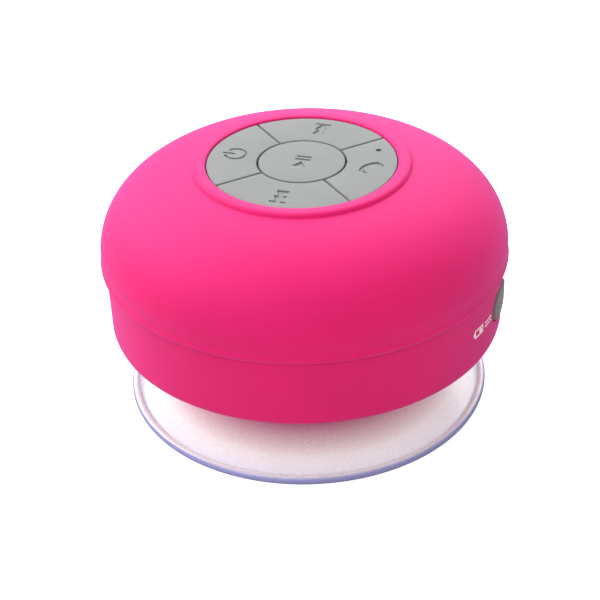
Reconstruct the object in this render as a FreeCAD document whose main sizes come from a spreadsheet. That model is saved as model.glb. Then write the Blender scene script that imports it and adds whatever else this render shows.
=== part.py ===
"""Shower speaker: a round silicone-covered loudspeaker that stands or hangs on a suction cup.

Frame: +Z up, origin on the face of the suction cup's rim, at its centre.
The charging port and the call key face +X, the next key +Y, the power key -X and the
previous key -Y. Every length is in millimetres.
"""
import FreeCAD, Part
import math
import operator
import os
import Sketcher

os.makedirs("parts", exist_ok=True)
document = FreeCAD.newDocument("ShowerSpeaker")

# Driving dimensions: alias, number, what it is.
DIMENSIONS = [
    ("body_height", 54.2, "top of the ring around the keypad"),
    ("body_radius", 43.4, "widest radius of the dome"),
    ("waist_level", 33.0, "level at which the dome is widest"),
    ("dome_power", 2.58, "exponent of the dome's superellipse"),
    ("crown_rise", 0.8, "crown of the dome's curve above the ring"),
    ("ring_foot", 23.1, "outer radius of the ring at its foot"),
    ("ring_width", 2.2, "width of the ring's top"),
    ("ring_gap", 0.2, "gap between the ring and the keys"),
    ("seam_level", 32.7, "joint between the two skins and the two shells"),
    ("base_level", 17.25, "underside of the base skin"),
    ("base_inset", 1.0, "base band inside the widest radius"),
    ("lip_inset", 0.8, "foot of the top skin inside the widest radius"),
    ("edge_radius", 1.5, "rounding under the base band"),
    ("skin_wall", 1.8, "silicone skin thickness"),
    ("skin_turn_in", 26.0, "radius that the base skin reaches under the base"),
    ("shell_wall", 2.0, "shell wall thickness"),
    ("slip_fit", 0.05, "clearance between pieces seated in each other"),
    ("run_gap", 0.25, "gap between pieces that turn on each other"),
    ("cup_inset", 3.9, "suction cup inside the widest radius"),
    ("rim_width", 2.5, "width of the cup's sealing rim"),
    ("rim_bead", 1.8, "height of the bead around the rim"),
    ("cup_hollow", 6.5, "height of the hollow under the cup"),
    ("cup_wall", 1.9, "wall of the cup's dish"),
    ("neck_radius", 9.5, "radius of the cup's neck"),
    ("stud_radius", 2.9, "radius of the swivel stud"),
    ("stud_head", 5.4, "radius of the stud's moulded-in head"),
    ("stud_head_thick", 1.4, "thickness of the stud's head"),
    ("hub_radius", 7.0, "radius of the swivel hub"),
    ("hub_rise", 3.0, "hub above the shell floor"),
    ("clip_radius", 4.6, "outer radius of the retaining clip"),
    ("clip_thick", 0.6, "thickness of the retaining clip"),
    ("keypad_radius", 19.8, "outer radius of the keys"),
    ("play_radius", 9.0, "radius of the play key"),
    ("key_gap", 0.4, "groove between keys"),
    ("key_drop", 0.4, "key tops below the ring"),
    ("key_thick", 0.9, "thickness of a key cap"),
    ("key_travel", 0.5, "travel of a key"),
    ("key_reach", 14.7, "distance of the outer keys' nubs from the centre"),
    ("nub_radius", 1.6, "radius of a key's nub"),
    ("mat_thick", 0.7, "thickness of the keypad mat"),
    ("stem_radius", 1.1, "radius of a switch stem"),
    ("stem_length", 1.85, "length of a switch stem"),
    ("switch_side", 4.5, "side of a switch body"),
    ("switch_height", 1.9, "height of a switch body"),
    ("mic_reach", 16.6, "distance of the microphone hole from the centre"),
    ("mic_turn", 30.0, "direction of the microphone hole, in degrees"),
    ("mic_hole", 0.6, "radius of the microphone hole"),
    ("post_height", 3.4, "board posts below the top plate"),
    ("board_radius", 25.0, "radius of the main board"),
    ("board_thick", 1.6, "thickness of the main board"),
    ("post_reach", 21.5, "distance of the board posts from the centre"),
    ("battery_length", 30.0, "length of the cell"),
    ("battery_width", 25.0, "width of the cell"),
    ("battery_thick", 5.2, "thickness of the cell"),
    ("pad_thick", 0.7, "foam under the cell"),
    ("driver_radius", 21.0, "radius of the driver's flange"),
    ("driver_opening", 17.8, "radius of the opening in the flange"),
    ("flange_thick", 1.0, "thickness of the flange"),
    ("basket_depth", 8.0, "depth of the basket"),
    ("gasket_thick", 0.5, "thickness of the driver's gasket"),
    ("seat_rise", 1.5, "driver seat above the shell floor"),
    ("magnet_radius", 14.0, "radius of the magnet"),
    ("magnet_thick", 3.2, "thickness of the magnet"),
    ("pole_radius", 6.0, "radius of the pole piece"),
    ("air_gap", 1.6, "width of the magnetic gap"),
    ("coil_thick", 0.6, "thickness of the voice coil on its former"),
    ("plate_thick", 1.5, "thickness of the driver's top plate"),
    ("back_thick", 1.8, "thickness of the yoke's back"),
    ("cone_travel", 1.0, "travel of the cone each way"),
    ("screw_radius", 1.45, "radius of the shell screws"),
    ("screw_length", 16.0, "length of the shell screws under the head"),
    ("boss_radius", 3.3, "radius of the screw bosses"),
    ("boss_inset", 5.2, "screw bosses inside the shell wall"),
    ("port_level", 26.2, "level of the charging port"),
    ("port_width", 11.2, "width of the port cover"),
    ("port_height", 6.1, "height of the port cover"),
    ("port_proud", 0.45, "port cover outside the band"),
    ("port_gap", 0.3, "gap around the port cover"),
    ("socket_width", 7.6, "width of the charging socket"),
    ("socket_height", 2.5, "height of the charging socket"),
    ("socket_length", 6.0, "length of the charging socket"),
    ("charge_board_length", 11.0, "length of the charging board"),
    ("charge_board_width", 14.0, "width of the charging board"),
    ("charge_board_thick", 1.2, "thickness of the charging board"),
    ("lead_radius", 0.55, "radius of an insulated lead"),
]
sheet = document.addObject("Spreadsheet::Sheet", "Sizes")
for row, (alias, number, meaning) in enumerate(DIMENSIONS, start=1):
    sheet.set(f"A{row}", meaning)
    sheet.set(f"B{row}", str(number))
    sheet.setAlias(f"B{row}", alias)
document.recompute()

OPERATIONS = {"+": operator.add, "-": operator.sub, "*": operator.mul, "/": operator.truediv, "^": operator.pow}
EPSILON = 1e-9


class Size:
    """A length or ratio: its present number, and the expression that ties it to the sheet."""

    def __init__(self, number, text):
        self.number = float(number)
        self.text = text

    def __add__(self, other):
        return combine(self, "+", other)

    def __radd__(self, other):
        return combine(other, "+", self)

    def __sub__(self, other):
        return combine(self, "-", other)

    def __rsub__(self, other):
        return combine(other, "-", self)

    def __mul__(self, other):
        return combine(self, "*", other)

    def __rmul__(self, other):
        return combine(other, "*", self)

    def __truediv__(self, other):
        return combine(self, "/", other)

    def __pow__(self, other):
        return combine(self, "^", other)

    def __rtruediv__(self, other):
        return combine(other, "/", self)

    def __neg__(self):
        return combine(0, "-", self)


def as_size(value):
    """A plain number becomes a Size; a Size stays as it is."""
    return value if isinstance(value, Size) else Size(value, f"{float(value)!r}")


def combine(left, sign, right):
    """The Size of two values joined by an arithmetic sign."""
    left = as_size(left)
    right = as_size(right)
    number = OPERATIONS[sign](left.number, right.number)
    return Size(number, f"({left.text} {sign} {right.text})")


def root(value):
    """Square root of a Size."""
    return Size(math.sqrt(value.number), f"sqrt({value.text})")


def cosine(angle):
    """Cosine of an angle in degrees."""
    angle = as_size(angle)
    return Size(math.cos(math.radians(angle.number)), f"cos({angle.text})")


def sine(angle):
    """Sine of an angle in degrees."""
    angle = as_size(angle)
    return Size(math.sin(math.radians(angle.number)), f"sin({angle.text})")


class Sheet:
    """Each alias of the spreadsheet as a Size."""

    def __getattr__(self, alias):
        return Size(sheet.get(alias), f"Sizes.{alias}")


S = Sheet()
nodes = {}


def keep(label, made):
    """Give a finished sub-part its label and list it for writing."""
    made.Label = label
    nodes[label] = made
    return made


def bind(made, **values):
    """Set an object's properties and tie each to its expression."""
    for name, value in values.items():
        value = as_size(value)
        setattr(made, name, value.number)
        made.setExpression(name, value.text)


def place(made, across=0, along=0, up=0, turn=0):
    """Put an object at a point, turned about the vertical, with each value tied to its expression."""
    values = [as_size(value) for value in (across, along, up, turn)]
    position = FreeCAD.Vector(*(value.number for value in values[:3]))
    vertical = FreeCAD.Vector(0, 0, 1)
    made.Placement = FreeCAD.Placement(position, FreeCAD.Rotation(vertical, values[3].number))
    for name, value in zip(("Base.x", "Base.y", "Base.z", "Rotation.Angle"), values):
        made.setExpression(f"Placement.{name}", value.text)
    return made


def cylinder(name, radius, bottom, top, across=0, along=0):
    """Upright cylinder between two levels."""
    made = document.addObject("Part::Cylinder", name)
    bind(made, Radius=radius, Height=top - bottom)
    return place(made, across, along, bottom)


def block(name, low, high, turn=0):
    """Box between two opposite corners, then turned about the vertical axis."""
    made = document.addObject("Part::Box", name)
    spans = [end - start for start, end in zip(low, high)]
    bind(made, Length=spans[0], Width=spans[1], Height=spans[2])
    across = low[0] * cosine(turn) - low[1] * sine(turn)
    along = low[0] * sine(turn) + low[1] * cosine(turn)
    return place(made, across, along, low[2], turn)


def cut(name, base, tools):
    """One object with tools taken away."""
    tool = tools[0] if len(tools) == 1 else fuse(f"{name}Tools", tools)
    made = document.addObject("Part::Cut", name)
    made.Base = base
    made.Tool = tool
    return made


def fuse(name, pieces):
    """Several objects joined into one."""
    made = document.addObject("Part::MultiFuse", name)
    made.Shapes = pieces
    return made


def group(name, pieces):
    """Several separate solids kept together as one node."""
    made = document.addObject("Part::Compound", name)
    made.Links = pieces
    return made


def pin_down(drawing, geometry, end, point):
    """Tie one sketch point to its two coordinates."""
    axes = (("DistanceX", -2, point[0]), ("DistanceY", -1, point[1]))
    for kind, axis, value in axes:
        if abs(value.number) < EPSILON:
            drawing.addConstraint(Sketcher.Constraint("PointOnObject", geometry, end, axis))
        else:
            rule = Sketcher.Constraint(kind, -1, 1, geometry, end, value.number)
            index = drawing.addConstraint(rule)
            drawing.setExpression(f"Constraints[{index}]", value.text)


def vector(point):
    """Sketch point as a vector."""
    return FreeCAD.Vector(point[0].number, point[1].number, 0)


def draw(body, plane, outline, level=0):
    """Closed sketch on one of the body's origin planes.

    A step of the outline is a corner (a, b), reached by a straight edge, or a pair of points
    ((a, b), (c, d)), reached by an arc that passes through the first and ends at the second.
    The first step also says how the outline closes on itself.
    """
    drawing = body.newObject("Sketcher::SketchObject", f"{body.Name}Outline")
    support = next(item for item in body.Origin.OriginFeatures if item.Role == plane)
    drawing.AttachmentSupport = [(support, "")]
    drawing.MapMode = "FlatFace"
    drawing.setExpression("AttachmentOffset.Base.z", as_size(level).text)
    corners = []
    through = []
    for step in outline:
        curved = isinstance(step[0], tuple)
        corners.append(tuple(as_size(value) for value in (step[1] if curved else step)))
        through.append(tuple(as_size(value) for value in step[0]) if curved else None)
    count = len(corners)
    for index in range(count):
        start = vector(corners[index])
        end = vector(corners[(index + 1) % count])
        middle = through[(index + 1) % count]
        if middle is None:
            drawing.addGeometry(Part.LineSegment(start, end), False)
        else:
            bulge = vector(middle)
            clockwise = (bulge - start).cross(end - bulge).z < 0
            arc = Part.Arc(end, bulge, start) if clockwise else Part.Arc(start, bulge, end)
            drawing.addGeometry(arc, False)
    ends = [sketch_ends(drawing, index, vector(corners[index])) for index in range(count)]
    for index in range(count):
        after = (index + 1) % count
        drawing.addConstraint(Sketcher.Constraint("Coincident", index, ends[index][1], after, ends[after][0]))
    for index in range(count):
        pin_down(drawing, index, ends[index][0], corners[index])
        middle = through[(index + 1) % count]
        if middle is not None:
            marker = drawing.addGeometry(Part.Point(vector(middle)), True)
            pin_down(drawing, marker, 1, middle)
            drawing.addConstraint(Sketcher.Constraint("PointOnObject", marker, 1, index))
    return drawing


def sketch_ends(drawing, index, start):
    """Point numbers of an edge's start and end: an arc may run the other way round."""
    edge = drawing.Geometry[index]
    runs_forward = edge.StartPoint.distanceToPoint(start) < edge.EndPoint.distanceToPoint(start)
    return (1, 2) if runs_forward else (2, 1)


def revolve(name, outline):
    """Solid of revolution about the vertical axis, from an outline of (radius, level)."""
    body = document.addObject("PartDesign::Body", name)
    drawing = draw(body, "XZ_Plane", outline)
    turned = body.newObject("PartDesign::Revolution", f"{name}Turned")
    turned.Profile = drawing
    turned.ReferenceAxis = (drawing, ["V_Axis"])
    turned.Angle = 360
    return body


def prism(name, plane, outline, start, end):
    """Outline on an origin plane, padded between two distances along its normal."""
    body = document.addObject("PartDesign::Body", name)
    drawing = draw(body, plane, outline, start)
    pad = body.newObject("PartDesign::Pad", f"{name}Pad")
    pad.Profile = drawing
    bind(pad, Length=end - start)
    return body


def dome_point(inset, angle):
    """Point of the dome's superellipse, moved inwards, as (radius, level)."""
    share = 2 / S.dome_power.number
    power = f"(2 / {S.dome_power.text})"
    across = Size(math.cos(math.radians(angle)) ** share, f"(cos({angle}) ^ {power})")
    up = Size(math.sin(math.radians(angle)) ** share, f"(sin({angle}) ^ {power})")
    crown = S.body_height + S.crown_rise - S.waist_level
    return ((S.body_radius - inset) * across, S.waist_level + (crown - inset) * up)


def dome_level(inset, radius):
    """Level of the dome's superellipse, moved inwards, at a radius."""
    crown = S.body_height + S.crown_rise - S.waist_level
    share = radius / (S.body_radius - inset)
    return S.waist_level + (crown - inset) * (1 - share ** S.dome_power) ** (1 / S.dome_power)


def shoulder_point(inset, edge, share):
    """Point of the dome between an inner edge and the side of the dome."""
    radius = edge + (dome_point(inset, SIDE_END)[0] - edge) * share
    return (radius, dome_level(inset, radius))


# The dome is drawn with arcs: one up its side, one over its shoulder, one on to its inner edge.
SIDE_START = 1
SIDE_MIDDLE = 15
SIDE_END = 30
SHOULDER_MIDDLE = 0.65
SHOULDER_END = 0.3

# Levels and radii that several pieces share.
base_radius = S.body_radius - S.base_inset
cup_radius = S.body_radius - S.cup_inset
wall_outer = base_radius - S.skin_wall - S.slip_fit
wall_inner = wall_outer - S.shell_wall
floor_bottom = S.base_level + S.skin_wall
floor_top = floor_bottom + S.shell_wall
cup_top = S.base_level - S.run_gap
hub_bottom = S.base_level + S.run_gap
hub_top = floor_top + S.hub_rise
plate_top = S.body_height - S.key_drop - S.key_thick - S.key_travel - 0.2 - S.mat_thick
plate_bottom = plate_top - S.shell_wall
board_top = plate_bottom - S.post_height
board_bottom = board_top - S.board_thick
key_top = S.body_height - S.key_drop
key_bottom = key_top - S.key_thick
seat_top = floor_top + S.seat_rise
flange_bottom = seat_top + S.gasket_thick
flange_top = flange_bottom + S.flange_thick
basket_top = flange_bottom + S.basket_depth
magnet_bottom = basket_top + S.plate_thick
magnet_top = magnet_bottom + S.magnet_thick
driver_back = magnet_top + S.back_thick
gap_outer = S.pole_radius + S.air_gap
coil_inner = S.pole_radius + (S.air_gap - S.coil_thick) / 2
coil_outer = coil_inner + S.coil_thick
boss_reach = wall_inner - S.boss_inset
QUARTER = 90
BOSS_TURN = 45

# Suction cup: clear soft vinyl, a dish with a beaded rim and a thick neck around the stud.
hollow_radius = cup_radius - S.rim_width
stud_seat = S.cup_hollow + 3.4
stud_head_top = stud_seat + S.stud_head_thick
bead_back = cup_radius - S.rim_bead
rim_edge = S.rim_bead / 3
cup = revolve("CupBlank", [
    (0, S.cup_hollow),
    (1, S.cup_hollow),
    ((hollow_radius * 0.55, S.cup_hollow * 0.7), (hollow_radius, 0)),
    (cup_radius - rim_edge, 0),
    ((cup_radius, S.rim_bead / 2), (cup_radius - rim_edge, S.rim_bead)),
    (bead_back, S.rim_bead * 0.9),
    ((hollow_radius * 0.6, S.cup_hollow * 0.64 + S.cup_wall), (S.neck_radius * 1.35, stud_head_top - 1.4)),
    ((S.neck_radius * 1.08, stud_head_top - 0.2), (S.neck_radius, stud_head_top + 1.4)),
    (S.neck_radius, cup_top),
    (S.stud_radius + S.slip_fit, cup_top),
    (S.stud_radius + S.slip_fit, stud_head_top + S.slip_fit),
    (S.stud_head + S.slip_fit, stud_head_top + S.slip_fit),
    (S.stud_head + S.slip_fit, stud_seat - S.slip_fit),
    (0, stud_seat - S.slip_fit),
])
keep("suction_cup", cup)

# Swivel stud: moulded into the neck, it turns in the hub and a spring clip holds it.
stud_top = hub_top + 3 * S.clip_thick
clip_bottom = hub_top + S.run_gap
clip_top = clip_bottom + S.clip_thick
groove_radius = S.stud_radius * 0.75
keep("cup_stud", revolve("Stud", [
    (0, stud_seat),
    (S.stud_head, stud_seat),
    (S.stud_head, stud_head_top),
    (S.stud_radius, stud_head_top),
    (S.stud_radius, clip_bottom - S.slip_fit),
    (groove_radius, clip_bottom - S.slip_fit),
    (groove_radius, clip_top + S.slip_fit),
    (S.stud_radius, clip_top + S.slip_fit),
    (S.stud_radius, stud_top),
    (0, stud_top),
]))
clip_ring = revolve("ClipRing", [
    (groove_radius + S.slip_fit, clip_bottom),
    (S.clip_radius, clip_bottom),
    (S.clip_radius, clip_top),
    (groove_radius + S.slip_fit, clip_top),
])
clip_mouth = block("ClipMouth", (0, -groove_radius, clip_bottom - 1), (S.clip_radius + 1, groove_radius, clip_top + 1))
keep("retaining_clip", cut("Clip", clip_ring, [clip_mouth]))
washer_bore = S.stud_radius + 0.2
keep("swivel_washer", revolve("Washer", [
    (washer_bore, cup_top + S.slip_fit),
    (S.hub_radius, cup_top + S.slip_fit),
    (S.hub_radius, hub_bottom - S.slip_fit),
    (washer_bore, hub_bottom - S.slip_fit),
]))

# Base skin: the lower silicone band, turned in under the base, with an opening for the port cover.
skin_inner = base_radius - S.skin_wall
corner_share = 1 - math.sqrt(0.5)
base_band = revolve("BaseBand", [
    (S.skin_turn_in, S.base_level),
    (base_radius - S.edge_radius, S.base_level),
    ((base_radius - S.edge_radius * corner_share, S.base_level + S.edge_radius * corner_share),
     (base_radius, S.base_level + S.edge_radius)),
    (base_radius, S.seam_level - S.slip_fit),
    (skin_inner, S.seam_level - S.slip_fit),
    (skin_inner, floor_bottom + S.edge_radius - S.slip_fit),
    (skin_inner - S.edge_radius, floor_bottom - S.slip_fit),
    (S.skin_turn_in, floor_bottom - S.slip_fit),
])


def stadium(name, width, height, start, end):
    """Round-ended bar along +X, centred on the charging port."""
    radius = height / 2
    flat = width / 2 - radius
    return prism(name, "YZ_Plane", [
        ((-flat - radius, S.port_level), (-flat, S.port_level - radius)),
        (flat, S.port_level - radius),
        ((flat + radius, S.port_level), (flat, S.port_level + radius)),
        (-flat, S.port_level + radius),
    ], start, end)


skin_window = stadium("SkinWindow", S.port_width + 2 * S.port_gap, S.port_height + 2 * S.port_gap,
                      wall_inner, S.body_radius + 5)
keep("base_skin", cut("BaseSkin", base_band, [skin_window]))

# Top skin: the silicone dome with its raised ring around the keypad.
ring_foot_point = (S.ring_foot, dome_level(0, S.ring_foot))
ring_inner = S.keypad_radius + S.ring_gap
shell_inset = S.skin_wall + S.slip_fit
plate_edge = S.ring_foot + 0.4
keep("top_skin", revolve("TopSkin", [
    (S.body_radius - S.lip_inset, S.seam_level + S.slip_fit),
    ((S.body_radius - S.lip_inset * 0.3, S.seam_level + 0.5), dome_point(0, SIDE_START)),
    (dome_point(0, SIDE_MIDDLE), dome_point(0, SIDE_END)),
    (shoulder_point(0, S.ring_foot, SHOULDER_MIDDLE), shoulder_point(0, S.ring_foot, SHOULDER_END)),
    (shoulder_point(0, S.ring_foot, SHOULDER_END / 2), ring_foot_point),
    ((S.ring_foot - 0.29, S.body_height - 0.39), (ring_inner + S.ring_width, S.body_height - 0.1)),
    ((ring_inner + S.ring_width / 2 + 0.1, S.body_height), (ring_inner + 0.2, S.body_height - 0.1)),
    (ring_inner, S.body_height - 0.3),
    (ring_inner, plate_top + S.slip_fit),
    (plate_edge, plate_top + S.slip_fit),
    shoulder_point(S.skin_wall, plate_edge, SHOULDER_END),
    (shoulder_point(S.skin_wall, plate_edge, SHOULDER_MIDDLE), dome_point(S.skin_wall, SIDE_END)),
    (dome_point(S.skin_wall, SIDE_MIDDLE), dome_point(S.skin_wall, SIDE_START)),
    (wall_outer + S.slip_fit * 2, S.seam_level + S.slip_fit),
]))

# Lower shell: hard floor and wall with the swivel hub, driver seat, screw bosses and port window.
groove_outer = wall_outer - S.shell_wall * 0.28
groove_inner = wall_inner + S.shell_wall * 0.32
groove_level = S.seam_level - 0.8
seat_outer = S.driver_radius + 0.5
seat_inner = S.driver_opening + 0.2
tray = revolve("LowerTray", [
    (S.stud_radius + S.slip_fit, hub_bottom),
    (S.hub_radius, hub_bottom),
    (S.hub_radius, floor_bottom),
    (wall_outer - S.edge_radius, floor_bottom),
    (wall_outer, floor_bottom + S.edge_radius),
    (wall_outer, S.seam_level),
    (groove_outer, S.seam_level),
    (groove_outer, groove_level),
    (groove_inner, groove_level),
    (groove_inner, S.seam_level),
    (wall_inner, S.seam_level),
    (wall_inner, floor_top),
    (seat_outer, floor_top),
    (seat_outer, seat_top),
    (seat_inner, seat_top),
    (seat_inner, floor_top),
    (S.hub_radius, floor_top),
    (S.hub_radius, hub_top),
    (S.stud_radius + S.slip_fit, hub_top),
])
slots = []
SLOT_COUNT = 12
for index in range(SLOT_COUNT):
    slots.append(block(f"SoundSlot{index}", (S.hub_radius + 2, -1.1, floor_bottom - 1),
                       (S.driver_opening - 0.8, 1.1, floor_top + 1), index * 360 / SLOT_COUNT))
boss_spots = []
for index in range(4):
    turn = BOSS_TURN + index * QUARTER
    boss_spots.append((boss_reach * cosine(turn), boss_reach * sine(turn)))
screw_head_radius = S.screw_radius * 1.85
screw_head_seat = floor_top + 3
screw_clearance = S.screw_radius + 0.2
bosses = []
screw_ways = []
for index, (across, along) in enumerate(boss_spots):
    bosses.append(cylinder(f"Boss{index}", S.boss_radius, floor_top - 0.5, S.seam_level, across, along))
    screw_ways.append(cylinder(f"ScrewWay{index}", screw_clearance, floor_bottom - 1, S.seam_level + 1, across, along))
    screw_ways.append(cylinder(f"HeadWay{index}", screw_head_radius + 0.2, floor_bottom - 1, screw_head_seat,
                               across, along))
charge_board_top = S.port_level - S.socket_height / 2
charge_board_bottom = charge_board_top - S.charge_board_thick
charge_board_front = wall_inner - 1.2
charge_board_back = charge_board_front - S.charge_board_length
charge_post_across = charge_board_back + 2.6
charge_post_along = S.charge_board_width / 2 - 2.2
posts = []
post_bores = []
for index, side in enumerate((-1, 1)):
    along = charge_post_along * side
    posts.append(cylinder(f"ChargePost{index}", 1.9, floor_top - 0.5, charge_board_bottom, charge_post_across, along))
    post_bores.append(cylinder(f"ChargeBore{index}", 0.8, floor_top, charge_board_bottom + 1,
                               charge_post_across, along))
shell_window = block("ShellWindow",
                     (wall_inner - 2, -S.port_width / 2 + 0.7, S.port_level - 1.8),
                     (wall_outer + 2, S.port_width / 2 + 2.4, S.port_level + 1.8))
shell_body = fuse("LowerBody", [tray] + bosses + posts)
keep("lower_shell", cut("LowerShell", shell_body, slots + screw_ways + post_bores + [shell_window]))

# Upper shell: hard dome under the top skin, with key holes, screw pillars and board posts.
inner_inset = shell_inset + S.shell_wall
inner_edge = plate_edge - 0.8
dome_shell = revolve("UpperDome", [
    (wall_outer, S.seam_level + S.slip_fit),
    dome_point(shell_inset, SIDE_START),
    (dome_point(shell_inset, SIDE_MIDDLE), dome_point(shell_inset, SIDE_END)),
    (shoulder_point(shell_inset, plate_edge, SHOULDER_MIDDLE), shoulder_point(shell_inset, plate_edge, SHOULDER_END)),
    (plate_edge, plate_top),
    (0, plate_top),
    (0, plate_bottom),
    (inner_edge, plate_bottom),
    shoulder_point(inner_inset, inner_edge, SHOULDER_END),
    (shoulder_point(inner_inset, inner_edge, SHOULDER_MIDDLE), dome_point(inner_inset, SIDE_END)),
    (dome_point(inner_inset, SIDE_MIDDLE), dome_point(inner_inset, SIDE_START)),
    (wall_inner, S.seam_level + S.slip_fit),
])
pillar_top = dome_point(inner_inset, SIDE_END)[1] - 1
pillars = []
pilot_holes = []
screw_tip = screw_head_seat + S.screw_length
for index, (across, along) in enumerate(boss_spots):
    pillars.append(cylinder(f"Pillar{index}", S.boss_radius, S.seam_level + S.slip_fit, pillar_top, across, along))
    pilot_holes.append(cylinder(f"Pilot{index}", S.screw_radius + S.slip_fit, S.seam_level - 1, screw_tip + 0.5,
                                across, along))
post_spots = []
for index in range(3):
    turn = 75 + index * 120
    post_spots.append((S.post_reach * cosine(turn), S.post_reach * sine(turn)))
board_posts = []
board_bores = []
board_screw_radius = 0.85
board_screw_tip = board_top + 2.6
for index, (across, along) in enumerate(post_spots):
    board_posts.append(cylinder(f"BoardPost{index}", 2.1, board_top, plate_bottom + 0.5, across, along))
    board_bores.append(cylinder(f"BoardBore{index}", board_screw_radius + S.slip_fit, board_top - 1,
                                board_screw_tip + 0.3, across, along))
key_spots = {
    "play": (0, 0),
    "call": (S.key_reach, 0),
    "next": (0, S.key_reach),
    "power": (-S.key_reach, 0),
    "previous": (0, -S.key_reach),
}
mic_spot = (S.mic_reach * cosine(S.mic_turn), S.mic_reach * sine(S.mic_turn))
nub_way = S.nub_radius + 0.4
key_ways = []
mat_ways = []
for name, (across, along) in key_spots.items():
    key_ways.append(cylinder(f"{name}Way", nub_way, plate_bottom - 1, plate_top + 1, across, along))
    mat_ways.append(cylinder(f"{name}MatWay", nub_way, plate_top - 1, plate_top + 2, across, along))
key_ways.append(cylinder("MicWay", S.mic_hole, plate_bottom - 1, plate_top + 1, *mic_spot))
mat_ways.append(cylinder("MicMatWay", S.mic_hole, plate_top - 1, plate_top + 2, *mic_spot))
dome_body = fuse("UpperBody", [dome_shell] + pillars + board_posts)
keep("upper_shell", cut("UpperShell", dome_body, pilot_holes + board_bores + key_ways))

# Seal between the shells, and the four screws that close them from below.
keep("shell_seal", revolve("Seal", [
    (groove_inner + S.slip_fit, groove_level + S.slip_fit),
    (groove_outer - S.slip_fit, groove_level + S.slip_fit),
    (groove_outer - S.slip_fit, S.seam_level),
    (groove_inner + S.slip_fit, S.seam_level),
]))


def screw(name, spot, radius, head_radius, head_height, seat, tip):
    """Pan-head screw that points up: the head lies under its seat."""
    across, along = spot
    head = cylinder(f"{name}Head", head_radius, seat - head_height, seat, across, along)
    shank = cylinder(f"{name}Shank", radius, seat - 0.5, tip, across, along)
    return fuse(name, [head, shank])


keep("shell_screws", group("ShellScrews", [
    screw(f"ShellScrew{index}", spot, S.screw_radius, screw_head_radius, 2.0, screw_head_seat, screw_tip)
    for index, spot in enumerate(boss_spots)]))

# Keypad: a thin mat on the top plate, a round key and four sector keys, each on a nub.
keep("keypad_mat", cut("KeypadMat", cylinder("MatDisc", S.keypad_radius, plate_top, plate_top + S.mat_thick), mat_ways))
stem_top = key_bottom - 4.1
half_gap = S.key_gap / 2
sector_inner = S.play_radius + S.key_gap
nub_bottom = stem_top + S.slip_fit


def sector_corner(radius, side):
    """Corner of a sector key, half a groove away from its diagonal."""
    reach = root(radius ** 2 - half_gap ** 2)
    return ((reach + half_gap) * math.sqrt(0.5), (reach - half_gap) * math.sqrt(0.5) * side)


play_cap = cylinder("PlayCap", S.play_radius, key_bottom, key_top)
play_nub = cylinder("PlayNub", S.nub_radius, nub_bottom, key_bottom + 0.3)
keep("play_key", fuse("PlayKey", [play_cap, play_nub]))
KEY_TURNS = {"call": 0, "next": 90, "power": 180, "previous": 270}
for name, turn in KEY_TURNS.items():
    sector = prism(f"{name}Cap", "XY_Plane", [
        ((sector_inner, 0), sector_corner(sector_inner, -1)),
        sector_corner(S.keypad_radius, -1),
        ((S.keypad_radius, 0), sector_corner(S.keypad_radius, 1)),
        sector_corner(sector_inner, 1),
    ], key_bottom, key_top)
    place(sector, turn=turn)
    nub = cylinder(f"{name}Nub", S.nub_radius, nub_bottom, key_bottom + 0.3, *key_spots[name])
    key = fuse(f"{name}Key", [sector, nub])
    if name == "call":
        key = cut("CallKeyPierced", key, [cylinder("MicKeyWay", S.mic_hole, key_bottom - 1, key_top + 1, *mic_spot)])
    keep(f"{name}_key", key)
for name, (across, along) in key_spots.items():
    stem = cylinder(f"{name}Stem", S.stem_radius, stem_top - S.stem_length, stem_top, across, along)
    keep(f"{name}_stem", stem)

# Main board: a disc on three posts, with its switches, chips and microphone.
board_disc = cylinder("BoardDisc", S.board_radius, board_bottom, board_top)
board_holes = [cylinder(f"BoardHole{index}", board_screw_radius + 0.2, board_bottom - 1, board_top + 1, *spot)
               for index, spot in enumerate(post_spots)]
keep("main_board", cut("MainBoard", board_disc, board_holes))
keep("board_screws", group("BoardScrews", [
    screw(f"BoardScrew{index}", spot, board_screw_radius, 1.7, 1.1, board_bottom, board_screw_tip)
    for index, spot in enumerate(post_spots)]))
switches = []
for name, (across, along) in key_spots.items():
    half = S.switch_side / 2
    case = block(f"{name}Case", (across - half, along - half, board_top),
                 (across + half, along + half, board_top + S.switch_height))
    bore = cylinder(f"{name}Bore", S.stem_radius + 0.1, board_top + 0.3, board_top + S.switch_height + 1, across, along)
    switches.append(cut(f"{name}Switch", case, [bore]))
keep("switch_bodies", group("SwitchBodies", switches))
keep("radio_chip", block("RadioChip", (-11.5, 5.5, board_top), (-5.5, 11.5, board_top + 0.9)))
keep("amplifier_chip", block("AmplifierChip", (5.5, -11.0, board_top), (10.5, -6.0, board_top + 1.0)))
mic_top = board_top + 1.2
keep("microphone", cylinder("Microphone", 2.0, board_top, mic_top, *mic_spot))
boot = cylinder("BootOuter", 1.9, mic_top, plate_bottom, *mic_spot)
keep("microphone_boot", cut("Boot", boot, [cylinder("BootBore", 0.8, mic_top - 1, plate_bottom + 1, *mic_spot)]))

# Battery: a pouch cell between two foam pads, on the back of the driver and under the board.
cell_bottom = driver_back + S.pad_thick
cell_top = cell_bottom + S.battery_thick
half_length = S.battery_length / 2
half_width = S.battery_width / 2
keep("battery_cell", block("Cell", (-half_length, -half_width, cell_bottom), (half_length, half_width, cell_top)))
pad_half = S.magnet_radius * 0.6
lower_pad = block("LowerPad", (-pad_half, -pad_half, driver_back), (pad_half, pad_half, cell_bottom))
upper_pad = block("UpperPad", (-pad_half, -pad_half, cell_top), (pad_half, pad_half, board_bottom))
keep("battery_pads", group("BatteryPads", [lower_pad, upper_pad]))

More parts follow.
